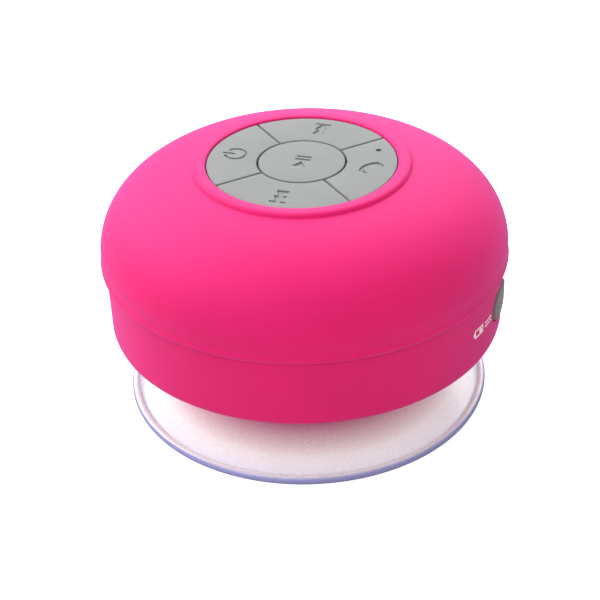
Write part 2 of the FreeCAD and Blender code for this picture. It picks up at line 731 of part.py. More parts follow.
# Charging board and its socket, on two posts behind the port.
charge_half = S.charge_board_width / 2
charge_plate = block("ChargePlate", (charge_board_back, -charge_half, charge_board_bottom),
                     (charge_board_front, charge_half, charge_board_top))
charge_holes = [cylinder(f"ChargeHole{index}", 1.0, charge_board_bottom - 1, charge_board_top + 1,
                         charge_post_across, charge_post_along * side) for index, side in enumerate((-1, 1))]
keep("charge_board", cut("ChargeBoard", charge_plate, charge_holes))
charge_screws = []
for index, side in enumerate((-1, 1)):
    along = charge_post_along * side
    head = cylinder(f"ChargeHead{index}", 1.5, charge_board_top, charge_board_top + 0.9, charge_post_across, along)
    shank = cylinder(f"ChargeShank{index}", 0.75, floor_top + 0.4, charge_board_top + 0.5, charge_post_across, along)
    charge_screws.append(fuse(f"ChargeScrew{index}", [head, shank]))
keep("charge_board_screws", group("ChargeScrews", charge_screws))
socket_front = wall_outer - 1.5
socket_back = socket_front - S.socket_length
socket_wall = 0.3
socket_outer = stadium("SocketOuter", S.socket_width, S.socket_height, socket_back, socket_front)
socket_bore = stadium("SocketBore", S.socket_width - 2 * socket_wall, S.socket_height - 2 * socket_wall,
                      socket_back + 0.8, socket_front + 1)
keep("charging_socket", cut("Socket", socket_outer, [socket_bore]))
keep("socket_tongue", block("Tongue", (socket_back + 0.8, -S.socket_width * 0.3, S.port_level - 0.35),
                            (socket_front - 0.8, S.socket_width * 0.3, S.port_level + 0.35)))

# Port cover: a soft flap in the skin's window, with a tongue in the shell's window.
cover_inner = wall_outer + 0.45
cover_outer = base_radius + S.port_proud
cover_ring = revolve("CoverRing", [
    (cover_inner, S.port_level - S.port_height),
    (cover_outer, S.port_level - S.port_height),
    (cover_outer, S.port_level + S.port_height),
    (cover_inner, S.port_level + S.port_height),
])
cover_bar = stadium("CoverBar", S.port_width, S.port_height, wall_inner, S.body_radius + 5)
flap = document.addObject("Part::Common", "Flap")
flap.Base = cover_ring
flap.Tool = cover_bar
tongue_half = S.port_width / 2 - 1.6
cover_tongue = block("CoverTongue", (wall_outer - 1.1, -tongue_half, S.port_level - 1.3),
                     (cover_inner + 0.4, tongue_half, S.port_level + 1.3))
keep("port_cover", fuse("PortCover", [flap, cover_tongue]))
anchor_ring = revolve("AnchorRing", [
    (wall_inner + 0.1, S.port_level - 1.7),
    (wall_outer, S.port_level - 1.7),
    (wall_outer, S.port_level + 1.7),
    (wall_inner + 0.1, S.port_level + 1.7),
])
anchor = document.addObject("Part::Common", "Anchor")
anchor.Base = anchor_ring
anchor.Tool = block("AnchorBlock", (wall_inner - 3, S.port_width / 2 - 0.4, S.port_level - 2),
                    (wall_outer + 1, S.port_width / 2 + 2.3, S.port_level + 2))
keep("port_cover_anchor", anchor)

# Loudspeaker driver, facing down over the sound slots: fixed parts first, then the cone.
keep("driver_gasket", revolve("Gasket", [
    (seat_inner, seat_top),
    (S.driver_radius, seat_top),
    (S.driver_radius, flange_bottom),
    (seat_inner, flange_bottom),
]))
basket_wall = 1.0
waist = S.driver_radius - 5.2
ledge = basket_top - 0.8
basket_bowl = revolve("BasketBowl", [
    (S.driver_opening, flange_bottom),
    (S.driver_radius, flange_bottom),
    (S.driver_radius, flange_top),
    (S.driver_opening + basket_wall, flange_top),
    (S.driver_opening + basket_wall, flange_top + 0.8),
    (waist, basket_top - 2),
    (waist, basket_top),
    (S.magnet_radius * 0.68, basket_top),
    (S.magnet_radius * 0.68, ledge),
    (waist - basket_wall, ledge),
    (waist - basket_wall, basket_top - 2),
    (S.driver_opening, flange_top + 0.8),
])
basket_windows = [block(f"BasketWindow{index}", (waist - 4, -5, flange_top + 1.2),
                        (S.driver_radius + 2, 5, basket_top - 1.8), BOSS_TURN + index * QUARTER) for index in range(4)]
keep("driver_basket", cut("Basket", basket_bowl, basket_windows))
plate_radius = S.magnet_radius - 0.5
keep("magnet_plate", revolve("MagnetPlate", [
    (gap_outer, basket_top),
    (plate_radius, basket_top),
    (plate_radius, magnet_bottom),
    (gap_outer, magnet_bottom),
]))
keep("driver_magnet", revolve("Magnet", [
    (gap_outer + 1.4, magnet_bottom),
    (S.magnet_radius, magnet_bottom),
    (S.magnet_radius, magnet_top),
    (gap_outer + 1.4, magnet_top),
]))
keep("driver_yoke", revolve("Yoke", [
    (0, basket_top),
    (S.pole_radius, basket_top),
    (S.pole_radius, magnet_top),
    (plate_radius, magnet_top),
    (plate_radius, driver_back),
    (0, driver_back),
]))
coil_bottom = flange_bottom + 5.2
coil_top = magnet_bottom + S.cone_travel + 0.5
keep("voice_coil", revolve("Coil", [
    (coil_inner, coil_bottom),
    (coil_outer, coil_bottom),
    (coil_outer, coil_top),
    (coil_inner, coil_top),
]))
cone_outer = S.driver_opening - 1.5
cone_thick = 0.45
cone_rim = flange_bottom + 1.2
keep("speaker_cone", revolve("Cone", [
    (coil_outer, coil_bottom - 0.1),
    (coil_outer, coil_bottom + cone_thick),
    (cone_outer, cone_rim + cone_thick),
    (cone_outer, cone_rim),
]))
cap_level = coil_bottom - 0.1
cap_rise = 0.6
keep("dust_cap", revolve("Cap", [
    (0, cap_level - cap_rise),
    (1, cap_level - cap_rise),
    ((coil_outer * 0.55, cap_level - cap_rise * 0.7), (coil_outer, cap_level - 0.1)),
    (coil_outer, cap_level),
    (coil_outer - 0.3, cap_level),
    ((coil_outer * 0.5, cap_level - cap_rise * 0.7 + 0.3), (1, cap_level - cap_rise + 0.3)),
    (0, cap_level - cap_rise + 0.3),
]))
surround_middle = (cone_outer + S.driver_opening) / 2
keep("cone_surround", revolve("Surround", [
    (cone_outer + 0.05, cone_rim),
    ((surround_middle, cone_rim - 0.5), (S.driver_opening - 0.05, cone_rim)),
    (S.driver_opening - 0.05, cone_rim + 0.25),
    ((surround_middle, cone_rim - 0.25), (cone_outer + 0.05, cone_rim + 0.25)),
]))
spider_level = coil_bottom + 1.3
keep("cone_spider", revolve("Spider", [
    (coil_outer + 0.05, spider_level),
    (waist - basket_wall - 0.05, spider_level),
    (waist - basket_wall - 0.05, spider_level + 0.3),
    (coil_outer + 0.05, spider_level + 0.3),
]))
keep("speaker_mesh", revolve("Mesh", [
    (S.hub_radius + 0.2, floor_top),
    (S.driver_opening, floor_top),
    (S.driver_opening, floor_top + 0.25),
    (S.hub_radius + 0.2, floor_top + 0.25),
]))

# Leads: insulated wires from the driver, the cell and the charging board up to the main board.
lead_bend = 2.0


def lead(name, stops):
    """One wire through its stops: straight runs joined by tangent arcs, with a round section."""
    points = [FreeCAD.Vector(*(as_size(value).number for value in stop)) for stop in stops]
    edges = []
    start = points[0]
    for before, corner, after in zip(points, points[1:], points[2:]):
        arriving = (corner - before).normalize()
        leaving = (after - corner).normalize()
        setback = lead_bend * math.tan(arriving.getAngle(leaving) / 2)
        enter = corner - arriving * setback
        leave = corner + leaving * setback
        inward = (leaving - arriving).normalize()
        centre_reach = math.hypot(lead_bend, setback)
        middle = corner + inward * (centre_reach - lead_bend)
        edges.append(Part.LineSegment(start, enter).toShape())
        edges.append(Part.Arc(enter, middle, leave).toShape())
        start = leave
    edges.append(Part.LineSegment(start, points[-1]).toShape())
    section = Part.Wire(Part.makeCircle(S.lead_radius.number, points[0], points[1] - points[0]))
    made = document.addObject("Part::Feature", name)
    made.Shape = Part.Wire(edges).makePipeShell([section], True, False)
    return made


lead_gap = S.lead_radius * 2 + 0.3
driver_lead_across = -(waist + 2.8)
driver_terminal = basket_top - 1.2
cell_middle = (cell_bottom + cell_top) / 2
cell_lead_across = -(half_length + 2.6)
charge_lead_across = charge_board_back + 1.2
board_lead_across = S.board_radius - 2.5
lead_rise = board_bottom - 8
driver_leads = []
cell_leads = []
charge_leads = []
for index, side in enumerate((-0.5, 0.5)):
    along = lead_gap * side
    driver_leads.append(lead(f"DriverLead{index}", [
        (-waist, along, driver_terminal),
        (driver_lead_across, along, driver_terminal),
        (driver_lead_across, along, board_bottom),
    ]))
    cell_leads.append(lead(f"CellLead{index}", [
        (-half_length, along + 6, cell_middle),
        (cell_lead_across, along + 6, cell_middle),
        (cell_lead_across, along + 6, board_bottom),
    ]))
    charge_leads.append(lead(f"ChargeLead{index}", [
        (charge_lead_across, along, charge_board_top),
        (charge_lead_across, along, lead_rise),
        (board_lead_across, along, lead_rise + 4),
        (board_lead_across, along, board_bottom),
    ]))
keep("speaker_leads", group("SpeakerLeads", driver_leads))
keep("battery_leads", group("BatteryLeads", cell_leads))
keep("charging_leads", group("ChargingLeads", charge_leads))

# Every object must have computed, and every sub-part must be a sound shape, before writing.
document.recompute()
for made in document.Objects:
    if "Invalid" in made.State or "Error" in made.State:
        raise RuntimeError(f"{made.Label} did not compute: {made.State}")
for label, made in nodes.items():
    if made.Shape.isNull() or not made.Shape.isValid() or not made.Shape.Solids:
        raise RuntimeError(f"{label} is not a sound solid")
for label, made in nodes.items():
    made.Shape.exportStep(f"parts/{label}.step")
print(len(nodes), "sub-parts written")
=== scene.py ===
import math

import bmesh
import bpy
from mathutils import Matrix, Quaternion, Vector


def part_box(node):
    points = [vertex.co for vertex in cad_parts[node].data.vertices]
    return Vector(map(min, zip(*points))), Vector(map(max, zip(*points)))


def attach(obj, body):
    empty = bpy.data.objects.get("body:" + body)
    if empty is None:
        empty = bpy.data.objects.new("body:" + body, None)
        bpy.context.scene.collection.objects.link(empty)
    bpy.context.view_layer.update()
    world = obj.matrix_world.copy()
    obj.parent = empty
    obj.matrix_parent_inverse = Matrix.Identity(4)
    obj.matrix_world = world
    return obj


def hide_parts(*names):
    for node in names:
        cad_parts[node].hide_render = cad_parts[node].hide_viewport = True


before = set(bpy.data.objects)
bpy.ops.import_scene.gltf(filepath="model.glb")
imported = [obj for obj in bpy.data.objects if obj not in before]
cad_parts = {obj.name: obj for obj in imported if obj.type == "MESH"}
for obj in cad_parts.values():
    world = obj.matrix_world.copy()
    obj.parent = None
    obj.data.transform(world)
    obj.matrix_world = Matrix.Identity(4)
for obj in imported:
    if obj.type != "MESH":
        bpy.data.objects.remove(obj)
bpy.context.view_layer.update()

MM = 0.001
FULL_TURN = 2 * math.pi

# Camera. A long lens looks down on the keypad, from between the charging port
# and the previous key; the object sits a little above the middle of the frame.
CAMERA_TURN = math.radians(17)
CAMERA_RISE = math.radians(31.9)
CAMERA_ROLL = math.radians(-1.855)
CAMERA_REACH = 325.4 * MM
AIM = Vector((0, 0, 28 * MM))
rightward = Vector((math.cos(CAMERA_TURN), math.sin(CAMERA_TURN), 0))
onward = Vector((-math.sin(CAMERA_TURN), math.cos(CAMERA_TURN), 0))
upward = Vector((0, 0, 1))
toward_camera = upward * math.sin(CAMERA_RISE) - onward * math.cos(CAMERA_RISE)
camera_data = bpy.data.cameras.new("view_camera")
camera_data.lens = 90.4
camera_data.shift_x = -0.0086
camera_data.shift_y = -0.0555
camera_data.clip_start = 0.01
camera = bpy.data.objects.new("view_camera", camera_data)
camera.location = AIM + toward_camera * CAMERA_REACH
camera.rotation_mode = "QUATERNION"
level_look = (-toward_camera).to_track_quat("-Z", "Y")
camera.rotation_quaternion = level_look @ Quaternion((0, 0, 1), CAMERA_ROLL)
scene = bpy.context.scene
scene.collection.objects.link(camera)
scene.camera = camera
scene.view_settings.view_transform = "Standard"


# Studio. A round white paper floor, four large softboxes and a pale surround that
# brightens with height. Seen from below, the floor is clear.
def soft_light(name, across, away, rise, size, power):
    """Square softbox placed by the camera's right, away and up directions, aimed at the speaker."""
    data = bpy.data.lights.new(name, "AREA")
    data.shape = "SQUARE"
    data.size = size
    data.energy = power
    light = bpy.data.objects.new(name, data)
    light.location = rightward * across + onward * away + upward * rise
    light.rotation_mode = "QUATERNION"
    light.rotation_quaternion = (AIM - light.location).to_track_quat("-Z", "Y")
    scene.collection.objects.link(light)


soft_light("key_softbox", -0.65, 0.35, 0.6, 0.7, 7.5)
soft_light("back_softbox", 0.15, 0.75, 0.75, 0.9, 9.5)
soft_light("front_softbox", -0.55, -0.7, 0.75, 0.8, 4.6)
soft_light("side_softbox", 0.85, -0.25, 0.45, 0.7, 0.4)

world = bpy.data.worlds.new("studio_surround")
scene.world = world
world.use_nodes = True
world_nodes = world.node_tree.nodes
world_links = world.node_tree.links
surround_light = world_nodes["Background"]
surround_light.inputs["Color"].default_value = (1, 1, 1, 1)
sky_direction = world_nodes.new("ShaderNodeTexCoord")
sky_height = world_nodes.new("ShaderNodeSeparateXYZ")
sky_strength = world_nodes.new("ShaderNodeMapRange")
sky_strength.inputs["From Min"].default_value = -0.1
sky_strength.inputs["From Max"].default_value = 0.9
sky_strength.inputs["To Min"].default_value = 0.42
sky_strength.inputs["To Max"].default_value = 0.85
surround_white = world_nodes.new("ShaderNodeBackground")
surround_white.inputs["Color"].default_value = (1, 1, 1, 1)
surround_mix = world_nodes.new("ShaderNodeMixShader")
seen_directly = world_nodes.new("ShaderNodeLightPath")
world_links.new(sky_direction.outputs["Generated"], sky_height.inputs["Vector"])
world_links.new(sky_height.outputs["Z"], sky_strength.inputs["Value"])
world_links.new(sky_strength.outputs["Result"], surround_light.inputs["Strength"])
world_links.new(seen_directly.outputs["Is Camera Ray"], surround_mix.inputs["Fac"])
world_links.new(surround_light.outputs["Background"], surround_mix.inputs[1])
world_links.new(surround_white.outputs["Background"], surround_mix.inputs[2])
world_links.new(surround_mix.outputs["Shader"], world_nodes["World Output"].inputs["Surface"])

SWEEP_RADIUS = 3.0
sweep_bm = bmesh.new()
bmesh.ops.create_circle(sweep_bm, cap_ends=True, segments=96, radius=SWEEP_RADIUS)
sweep_mesh = bpy.data.meshes.new("sweep")
sweep_bm.to_mesh(sweep_mesh)
sweep_bm.free()
sweep = bpy.data.objects.new("sweep", sweep_mesh)
scene.collection.objects.link(sweep)
sweep_paper = bpy.data.materials.new("sweep_paper")
sweep_paper.use_nodes = True
paper_nodes = sweep_paper.node_tree.nodes
paper_links = sweep_paper.node_tree.links
paper = paper_nodes["Principled BSDF"]
paper.inputs["Base Color"].default_value = (0.85, 0.85, 0.855, 1)
paper.inputs["Roughness"].default_value = 0.9
paper.inputs["Emission Color"].default_value = (1, 1, 1, 1)
paper.inputs["Emission Strength"].default_value = 0.7
dim_paper = paper_nodes.new("ShaderNodeBsdfDiffuse")
paper_mix = paper_nodes.new("ShaderNodeMixShader")
paper_path = paper_nodes.new("ShaderNodeLightPath")
bounced = paper_nodes.new("ShaderNodeMath")
bounced.operation = "MAXIMUM"
paper_links.new(paper_path.outputs["Is Diffuse Ray"], bounced.inputs[0])
paper_links.new(paper_path.outputs["Is Glossy Ray"], bounced.inputs[1])
paper_links.new(bounced.outputs["Value"], paper_mix.inputs["Fac"])
bounce_level = paper_nodes.new("ShaderNodeMapRange")
bounce_level.inputs["To Min"].default_value = 0.68
bounce_level.inputs["To Max"].default_value = 0.22
paper_links.new(paper_path.outputs["Is Glossy Ray"], bounce_level.inputs["Value"])
paper_links.new(bounce_level.outputs["Result"], dim_paper.inputs["Color"])
paper_links.new(paper.outputs["BSDF"], paper_mix.inputs[1])
paper_links.new(dim_paper.outputs["BSDF"], paper_mix.inputs[2])
one_sided = paper_nodes.new("ShaderNodeMixShader")
paper_side = paper_nodes.new("ShaderNodeNewGeometry")
clear_side = paper_nodes.new("ShaderNodeBsdfTransparent")
paper_links.new(paper_side.outputs["Backfacing"], one_sided.inputs["Fac"])
paper_links.new(paper_mix.outputs["Shader"], one_sided.inputs[1])
paper_links.new(clear_side.outputs["BSDF"], one_sided.inputs[2])
paper_links.new(one_sided.outputs["Shader"], paper_nodes["Material Output"].inputs["Surface"])
sweep_mesh.materials.append(sweep_paper)


# Suction cup. One moulding of clear soft vinyl: a thin dish with a beaded rim,
# a finely frosted back, and a thick neck moulded around the swivel stud.
def bow(start, pull, end, steps):
    """Points of a smooth curve from start to end, drawn towards pull; start itself is left out."""
    points = []
    for index in range(1, steps + 1):
        share = index / steps
        rest = 1 - share
        points.append(tuple(rest * rest * a + 2 * rest * share * b + share * share * c
                            for a, b, c in zip(start, pull, end)))
    return points


def rounded(outline, start, *curves):
    """Outline grown by curves: each is a pull point, an end point and a number of steps."""
    outline.append(start)
    for pull, end, steps in curves:
        outline.extend(bow(outline[-1], pull, end, steps))
    return outline


SHARP_ANGLE = math.radians(35)


def make_piece(name, bm, body, finish):
    """Object from a bmesh, riding on a body, with one material and smooth faces between sharp edges."""
    bmesh.ops.recalc_face_normals(bm, faces=bm.faces)
    mesh = bpy.data.meshes.new(name)
    bm.to_mesh(mesh)
    bm.free()
    for face in mesh.polygons:
        face.use_smooth = True
    mesh.set_sharp_from_angle(angle=SHARP_ANGLE)
    mesh.materials.append(finish)
    piece = bpy.data.objects.new(name, mesh)
    scene.collection.objects.link(piece)
    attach(piece, body)
    return piece


TURN_STEPS = 256
WELD_DISTANCE = 0.002 * MM


def turn_outline(outline, closed):
    """Bmesh of an outline of (radius, level) in millimetres, turned about the vertical axis."""
    bm = bmesh.new()
    verts = [bm.verts.new((radius * MM, 0, level * MM)) for radius, level in outline]
    edges = [bm.edges.new(pair) for pair in zip(verts, verts[1:])]
    if closed:
        edges.append(bm.edges.new((verts[-1], verts[0])))
    bmesh.ops.spin(bm, geom=verts + edges, axis=(0, 0, 1), cent=(0, 0, 0), dvec=(0, 0, 0),
                   angle=FULL_TURN, steps=TURN_STEPS, use_merge=True, use_duplicate=False)
    bmesh.ops.remove_doubles(bm, verts=bm.verts, dist=WELD_DISTANCE)
    return bm


def new_finish(name, roughness):
    """Material with its node tree, its shader and an Object coordinate socket."""
    finish = bpy.data.materials.new(name)
    finish.use_nodes = True
    tree = finish.node_tree
    shader = tree.nodes["Principled BSDF"]
    shader.inputs["Roughness"].default_value = roughness
    place = tree.nodes.new("ShaderNodeTexCoord").outputs["Object"]
    return finish, tree, shader, place


def noise_field(tree, place, scale, detail=3.0, stretch=None):
    """Noise over Object coordinates, at so many cells a metre, stretched along an axis if asked."""
    noise = tree.nodes.new("ShaderNodeTexNoise")
    noise.inputs["Scale"].default_value = scale
    noise.inputs["Detail"].default_value = detail
    if stretch:
        mapping = tree.nodes.new("ShaderNodeMapping")
        mapping.inputs["Scale"].default_value = stretch
        tree.links.new(place, mapping.inputs["Vector"])
        place = mapping.outputs["Vector"]
    tree.links.new(place, noise.inputs["Vector"])
    return noise.outputs["Fac"]


def ramp(tree, field, stops):
    """Colour ramp over a field; each stop is a position and a linear colour."""
    node = tree.nodes.new("ShaderNodeValToRGB")
    while len(node.color_ramp.elements) < len(stops):
        node.color_ramp.elements.new(0.5)
    for element, (position, colour) in zip(node.color_ramp.elements, stops):
        element.position = position
        element.color = (*colour, 1)
    tree.links.new(field, node.inputs["Fac"])
    return node.outputs["Color"]


def add_bump(tree, shader, field, height, strength=1.0):
    """Surface relief of a field, of a real height in metres."""
    bump = tree.nodes.new("ShaderNodeBump")
    bump.inputs["Distance"].default_value = height
    bump.inputs["Strength"].default_value = strength
    tree.links.new(field, bump.inputs["Height"])
    tree.links.new(bump.outputs["Normal"], shader.inputs["Normal"])


def multiplied(tree, first, second):
    """Colour of one socket times the colour of another."""
    blend = tree.nodes.new("ShaderNodeMix")
    blend.data_type = "RGBA"
    blend.blend_type = "MULTIPLY"
    blend.inputs["Factor"].default_value = 1.0
    tree.links.new(first, blend.inputs["A"])
    tree.links.new(second, blend.inputs["B"])
    return blend.outputs["Result"]


cup_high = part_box("suction_cup")[1]
vinyl, vinyl_tree, vinyl_shader, vinyl_place = new_finish("clear_vinyl", 0.34)
vinyl_shader.inputs["IOR"].default_value = 1.5
vinyl_shader.inputs["Alpha"].default_value = 0.55
vinyl_shader.inputs["Coat Weight"].default_value = 0.8
vinyl_shader.inputs["Coat Roughness"].default_value = 0.22
vinyl.surface_render_method = "BLENDED"
across_cup = vinyl_tree.nodes.new("ShaderNodeSeparateXYZ")
vinyl_tree.links.new(vinyl_place, across_cup.inputs["Vector"])
cup_flat = vinyl_tree.nodes.new("ShaderNodeCombineXYZ")
vinyl_tree.links.new(across_cup.outputs["X"], cup_flat.inputs["X"])
vinyl_tree.links.new(across_cup.outputs["Y"], cup_flat.inputs["Y"])
from_axis = vinyl_tree.nodes.new("ShaderNodeVectorMath")
from_axis.operation = "LENGTH"
vinyl_tree.links.new(cup_flat.outputs["Vector"], from_axis.inputs[0])
cup_share = vinyl_tree.nodes.new("ShaderNodeMath")
cup_share.operation = "MULTIPLY"
cup_share.inputs[1].default_value = 1 / cup_high.x
vinyl_tree.links.new(from_axis.outputs["Value"], cup_share.inputs[0])
# From the neck outwards: a painted pink reflection of the body, white frost, and the lavender bead.
vinyl_colour_and_painted_reflection = ramp(vinyl_tree, cup_share.outputs["Value"], [
    (0.64, (0.84, 0.12, 0.38)), (0.85, (1.0, 0.98, 0.99)), (0.955, (0.62, 0.64, 0.88)),
    (0.965, (0.97, 0.97, 0.99)), (0.985, (0.93, 0.93, 0.98)), (0.996, (0.3, 0.31, 0.62))])
# Opacity by radius: most opaque at the neck, where the painted pink reflection shows, thinner across the
# dish and opaque again at the bead.
vinyl_body = ramp(vinyl_tree, cup_share.outputs["Value"], [
    (0.64, (0.9, 0.9, 0.9)), (0.86, (0.48, 0.48, 0.48)), (0.955, (0.5, 0.5, 0.5)),
    (0.99, (0.95, 0.95, 0.95))])
# The smooth face of the hollow carries no frost, so little of it shows through the dish.
hollow_face = vinyl_tree.nodes.new("ShaderNodeAttribute")
hollow_face.attribute_name = "hollow_face"
frost_share = vinyl_tree.nodes.new("ShaderNodeMapRange")
frost_share.inputs["To Min"].default_value = 1.0
frost_share.inputs["To Max"].default_value = 0.06
vinyl_tree.links.new(hollow_face.outputs["Fac"], frost_share.inputs["Value"])
vinyl_alpha = vinyl_tree.nodes.new("ShaderNodeMath")
vinyl_alpha.operation = "MULTIPLY"
vinyl_tree.links.new(vinyl_body, vinyl_alpha.inputs[0])
vinyl_tree.links.new(frost_share.outputs["Result"], vinyl_alpha.inputs[1])
vinyl_tree.links.new(vinyl_alpha.outputs["Value"], vinyl_shader.inputs["Alpha"])
vinyl_speck = ramp(vinyl_tree, noise_field(vinyl_tree, vinyl_place, 2400, 1.0), [
    (0.35, (0.88, 0.85, 0.87)), (0.6, (1.0, 1.0, 1.0))])
vinyl_tree.links.new(multiplied(vinyl_tree, vinyl_colour_and_painted_reflection, vinyl_speck), vinyl_shader.inputs["Base Color"])
frosting = noise_field(vinyl_tree, vinyl_place, 1900, 2.0)
add_bump(vinyl_tree, vinyl_shader, frosting, 0.06 * MM, 0.7)

cup_radius = cup_high.x / MM
cup_top = cup_high.z / MM
stud_low, stud_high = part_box("cup_stud")
MOULD_GAP = 0.05
STUD_RADIUS = 2.95
STUD_HEAD = 1.5
stud_head_radius = stud_high.x / MM + MOULD_GAP
stud_head_low = stud_low.z / MM - MOULD_GAP
stud_head_high = stud_head_low + STUD_HEAD
HOLLOW_HEIGHT = 6.5
RIM_WIDTH = 2.5
NECK_RADIUS = 9.5
hollow_radius = cup_radius - RIM_WIDTH
cup_outline = [(0.0, HOLLOW_HEIGHT)]
rounded(cup_outline, (1.0, HOLLOW_HEIGHT),
        ((hollow_radius * 0.52, HOLLOW_HEIGHT), (hollow_radius, 0.12), 30),
        ((hollow_radius + 0.3, 0.0), (hollow_radius + 0.6, 0.0), 3),
        ((cup_radius - 0.5, 0.0), (cup_radius - 0.35, 0.12), 4),
        ((cup_radius, 0.4), (cup_radius, 0.95), 6),
        ((cup_radius, 1.75), (cup_radius - 0.65, 1.82), 6),
        ((cup_radius - 1.3, 1.82), (cup_radius - 1.6, 1.5), 5),
        ((cup_radius - 1.9, 1.3), (cup_radius - 2.6, 1.62), 5),
        ((cup_radius * 0.5, 5.8), (NECK_RADIUS + 2.6, 10.2), 30),
        ((NECK_RADIUS + 0.1, 11.8), (NECK_RADIUS, 14.2), 10),
        ((NECK_RADIUS, 15.5), (NECK_RADIUS, cup_top - 0.4), 2),
        ((NECK_RADIUS, cup_top), (NECK_RADIUS - 0.4, cup_top), 4))
cup_outline += [
    (STUD_RADIUS, cup_top), (STUD_RADIUS, stud_head_high), (stud_head_radius, stud_head_high),
    (stud_head_radius, stud_head_low), (0.0, stud_head_low)]
cup = make_piece("frosted_cup", turn_outline(cup_outline, closed=False), "cup", vinyl)
hollow_mark = cup.data.attributes.new("hollow_face", "FLOAT", "POINT")
hollow_edge = (hollow_radius + 0.1) * MM
for vert, mark in zip(cup.data.vertices, hollow_mark.data):
    mark.value = float(vert.normal.z < 0 and math.hypot(vert.co.x, vert.co.y) < hollow_edge)
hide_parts("suction_cup")

# Base skin. A band of pink silicone stretched over the lower shell and turned in
# under the base, with a round-ended window for the port cover.
PINK = (0.72, 0.004, 0.079)


def scaled(colour, factor):
    """A colour made lighter or darker by a factor."""
    return tuple(min(1.0, channel * factor) for channel in colour)


def soft_touch(name, colour, gloss, gloss_tint):
    """Matte silicone with a fine eggshell grain, faint clouding and a broad soft gloss of its own tint."""
    finish, tree, shader, place = new_finish(name, 0.66)
    shader.inputs["Specular IOR Level"].default_value = gloss
    shader.inputs["Specular Tint"].default_value = (*gloss_tint, 1)
    shader.inputs["Sheen Weight"].default_value = gloss * 0.25
    shader.inputs["Sheen Roughness"].default_value = 0.5
    shader.inputs["Sheen Tint"].default_value = (*gloss_tint, 1)
    clouding = noise_field(tree, place, 55, 2.0)
    tone = ramp(tree, clouding, [(0.3, scaled(colour, 0.95)), (0.7, scaled(colour, 1.03))])
    speck = noise_field(tree, place, 4200, 1.0)
    speck_tone = ramp(tree, speck, [(0.35, (0.93, 0.93, 0.93)), (0.65, (1.0, 1.0, 1.0))])
    tree.links.new(multiplied(tree, tone, speck_tone), shader.inputs["Base Color"])
    add_bump(tree, shader, noise_field(tree, place, 2600, 2.0), 0.02 * MM, 0.5)
    return finish


END_STEPS = 16


def round_bar(width, height, level, reach_in, reach_out, flare=0.0):
    """Bmesh of a round-ended bar along +X at a level, all in millimetres, its outer end flared."""
    bm = bmesh.new()
    radius = height / 2
    flat = width / 2 - radius
    corners = []
    for side in (1, -1):
        for index in range(END_STEPS + 1):
            angle = -math.pi / 2 + math.pi * index / END_STEPS
            across = side * (flat + radius * math.cos(angle))
            corners.append((across, level + side * radius * math.sin(angle)))
    ring = [bm.verts.new((reach_in * MM, across * MM, up * MM)) for across, up in corners]
    base = bm.faces.new(ring)
    grown = bmesh.ops.extrude_face_region(bm, geom=[base])["geom"]
    moved = [item for item in grown if isinstance(item, bmesh.types.BMVert)]
    bmesh.ops.translate(bm, verts=moved, vec=((reach_out - reach_in) * MM, 0, 0))
    if flare:
        centre = Vector((0, 0, level * MM))
        swell = Matrix.Diagonal((1, 1 + flare, 1 + flare * width / height, 1))
        bmesh.ops.transform(bm, matrix=swell, space=Matrix.Translation(-centre), verts=moved)
    bmesh.ops.recalc_face_normals(bm, faces=bm.faces)
    return bm


def carve(piece, cutters):
    """Take each cutter out of a piece and keep the result as its mesh."""
    blanks = []
    for index, cutter in enumerate(cutters):
        mesh = bpy.data.meshes.new(f"{piece.name}_cutter{index}")
        cutter.to_mesh(mesh)
        cutter.free()
        blank = bpy.data.objects.new(mesh.name, mesh)
        scene.collection.objects.link(blank)
        blanks.append(blank)
        step = piece.modifiers.new(mesh.name, "BOOLEAN")
        step.operation = "DIFFERENCE"
        step.solver = "EXACT"
        step.object = blank
    depsgraph = bpy.context.evaluated_depsgraph_get()
    finished = bpy.data.meshes.new_from_object(piece.evaluated_get(depsgraph))
    piece.modifiers.clear()
    old = piece.data
    piece.data = finished
    bpy.data.meshes.remove(old)
    for blank in blanks:
        mesh = blank.data
        bpy.data.objects.remove(blank)
        bpy.data.meshes.remove(mesh)
    for face in finished.polygons:
        face.use_smooth = True
    finished.set_sharp_from_angle(angle=SHARP_ANGLE)


pink_silicone = soft_touch("pink_silicone", PINK, 1.0, (0.5, 0.22, 1.0))
base_low, base_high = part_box("base_skin")
base_radius = base_high.y / MM
base_bottom = base_low.z / MM
seam = base_high.z / MM
cover_low, cover_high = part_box("port_cover")
port_level = (cover_low.z + cover_high.z) / 2 / MM
port_width = (cover_high.y - cover_low.y) / MM
port_height = (cover_high.z - cover_low.z) / MM
SKIN_WALL = 1.75
TURN_IN_RADIUS = 26.0
inner_radius = base_radius - SKIN_WALL
turn_in_top = base_bottom + 1.76
base_outline = []
rounded(base_outline, (TURN_IN_RADIUS, base_bottom),
        ((30.0, base_bottom), (base_radius - 2.0, base_bottom), 4),
        ((base_radius - 0.12, base_bottom + 0.05), (base_radius - 0.1, base_bottom + 1.9), 10),
        ((base_radius, seam - 6), (base_radius, seam - 0.5), 14),
        ((base_radius, seam - 0.05), (base_radius - 0.45, seam - 0.05), 5),
        ((base_radius - 1.0, seam - 0.05), (inner_radius, seam - 0.05), 1),
        ((inner_radius, 25), (inner_radius, base_bottom + 3.3), 4),
        ((inner_radius, turn_in_top), (inner_radius - 1.5, turn_in_top), 4),
        ((30.0, turn_in_top), (TURN_IN_RADIUS, turn_in_top), 2))
PARTING_SIZE = (1.2, 0.16, 12)
PARTING_OUT = 0.54
PARTING_DROP = 3.6
PARTING_TURN = math.radians(-10.2)
parting_line = bmesh.new()
bmesh.ops.create_cube(parting_line, size=1.0,
                      matrix=Matrix.Diagonal((*(side * MM for side in PARTING_SIZE), 1)))
bmesh.ops.translate(parting_line, verts=parting_line.verts,
                    vec=((base_radius + PARTING_OUT) * MM, 0, (seam - PARTING_DROP) * MM))
